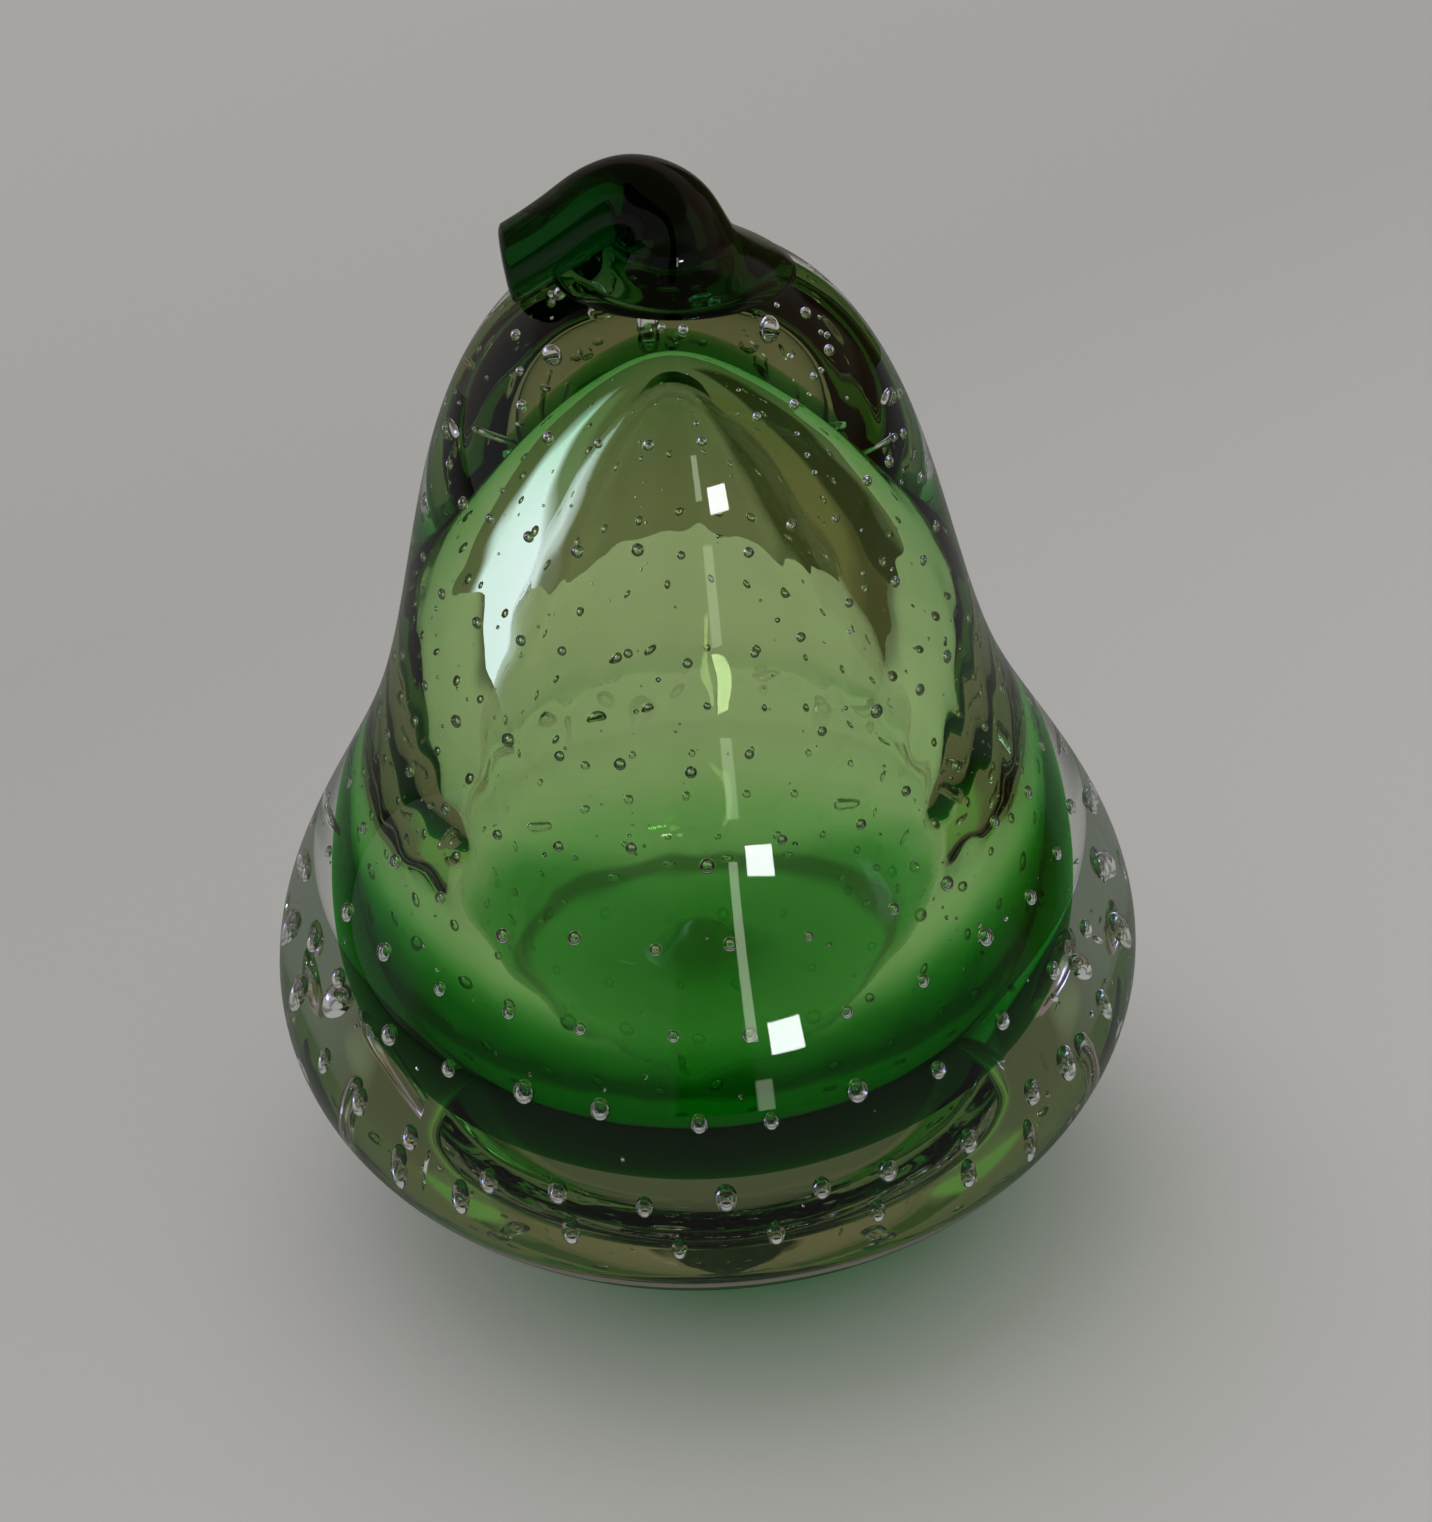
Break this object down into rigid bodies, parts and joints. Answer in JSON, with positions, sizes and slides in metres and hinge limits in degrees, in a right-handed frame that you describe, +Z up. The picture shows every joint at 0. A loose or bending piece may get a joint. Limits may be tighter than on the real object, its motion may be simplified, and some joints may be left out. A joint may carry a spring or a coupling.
{
  "type": "glass pear paperweight",
  "caption": "Pear-shaped bubble glass paperweight: clear casing over a hollow green core with trapped bubbles, green glass stem, flat polished base.",
  "frame": {"origin": "centre of the flat polished base, on the surface that the paperweight stands on", "axes": "+Z up along the pear's axis; the stem arches over towards -X and a little towards -Y, the side that the picture shows"},
  "size_m": [0.0904, 0.0904, 0.1145],
  "materials": {
    "clear_glass": "polished clear glass with a faint grey-green tint",
    "green_glass": "polished transparent emerald green glass",
    "dark_green_glass": "polished deep green glass, nearly black where thick"
  },
  "bodies": {
    "root": {"outer_casing": "clear_glass", "bubble_gather": "clear_glass", "green_shell": "green_glass", "stem": "dark_green_glass"}
  },
  "joints": []
}
